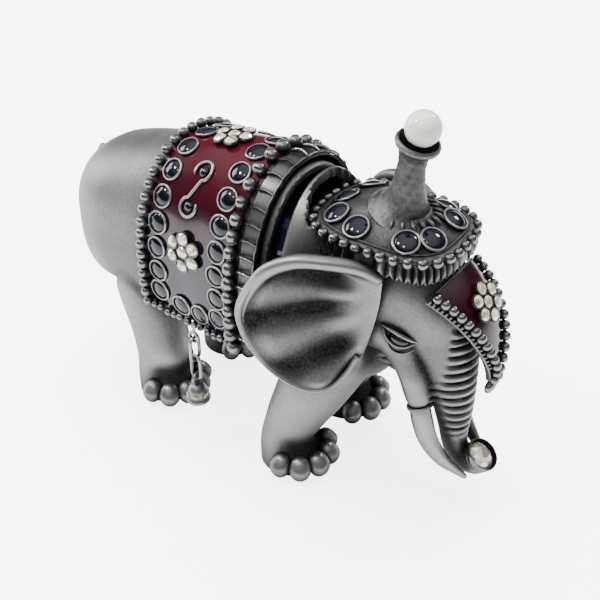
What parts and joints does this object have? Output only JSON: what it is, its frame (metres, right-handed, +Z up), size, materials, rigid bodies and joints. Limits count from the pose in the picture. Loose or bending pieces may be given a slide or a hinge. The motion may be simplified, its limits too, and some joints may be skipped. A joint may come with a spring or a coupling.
{
  "type": "figural elephant hinged box",
  "caption": "Standing elephant box in two cast halves on a side hinge, with a jewelled saddle cloth, a headdress with a pearl finial and a hanging bell charm",
  "frame": {"origin": "middle of the overall box in plan, on the floor the feet stand on", "axes": "+X towards the head, +Y to the animal's left, +Z up"},
  "size_m": [0.0817, 0.0344, 0.0625],
  "materials": {
    "pewter": "satin antiqued pewter, dark in the recesses",
    "dark_pewter": "heavily antiqued pewter",
    "bright_pewter": "brushed bright pewter",
    "burgundy_enamel": "glossy enamel, burgundy running to dark navy",
    "navy_cabochon": "polished domed enamel",
    "navy_enamel": "glossy enamel lining",
    "crystal": "faceted, foil-backed",
    "pearl": "pearl lustre",
    "steel": "plain drawn wire",
    "magnet": "nickel plated"
  },
  "bodies": {
    "rear_half": {"rear_casting": "pewter", "tail": "pewter", "hind_toes": "pewter", "saddle_cloth": "dark_pewter", "cloth_enamel": "burgundy_enamel", "cloth_rear_beads": "pewter", "cloth_front_beads": "pewter", "cloth_hem_beads": "pewter", "collar_frill": "dark_pewter", "cloth_bezels": "pewter", "cloth_cabochons": "navy_cabochon", "cloth_scrolls": "pewter", "cloth_flower_cups": "pewter", "cloth_flower_stones": "crystal", "rear_lining": "navy_enamel", "rear_hinge_leaf": "pewter", "hinge_pin": "steel", "rear_magnet": "magnet", "charm_eye": "pewter"},
    "chain_upper": {"upper_link": "pewter"},
    "chain_lower": {"lower_link": "pewter"},
    "charm": {"bell_charm": "pewter", "bell_stones": "crystal"},
    "front_half": {"front_casting": "pewter", "fore_toes": "pewter", "head_casting": "pewter", "right_ear": "pewter", "left_ear": "pewter", "right_tusk": "bright_pewter", "left_tusk": "bright_pewter", "right_eye": "dark_pewter", "left_eye": "dark_pewter", "trunk_cup": "pewter", "trunk_crystal": "crystal", "headdress_cap": "dark_pewter", "headdress_fringe": "dark_pewter", "headdress_beads": "pewter", "headdress_bezels": "pewter", "headdress_cabochons": "navy_cabochon", "finial_column": "dark_pewter", "pearl_peg": "steel", "pearl": "pearl", "forehead_panel": "pewter", "forehead_enamel": "burgundy_enamel", "forehead_beads": "pewter", "forehead_cups": "pewter", "forehead_stones": "crystal", "forehead_drop": "pewter", "front_lining": "navy_enamel", "locating_tongue": "pewter", "front_magnet": "magnet", "front_hinge_leaf": "pewter"}
  },
  "joints": [
    {"name": "front_swing", "type": "hinge", "parent": "rear_half", "child": "front_half", "pos_m": [0.0073, 0.01288, 0.031], "axis": [0, 0, 1], "range_deg": [-5, 36]},
    {"name": "upper_link_swing", "type": "hinge", "parent": "rear_half", "child": "chain_upper", "pos_m": [-0.0047, -0.01382, 0.01955], "axis": [1, 0, 0], "range_deg": [-20, 15]},
    {"name": "lower_link_swing", "type": "hinge", "parent": "chain_upper", "child": "chain_lower", "pos_m": [-0.0047, -0.01382, 0.01585], "axis": [0, 1, 0], "range_deg": [-20, 20]},
    {"name": "charm_swing", "type": "hinge", "parent": "chain_lower", "child": "charm", "pos_m": [-0.0047, -0.01382, 0.01215], "axis": [1, 0, 0], "range_deg": [-20, 20]}
  ]
}
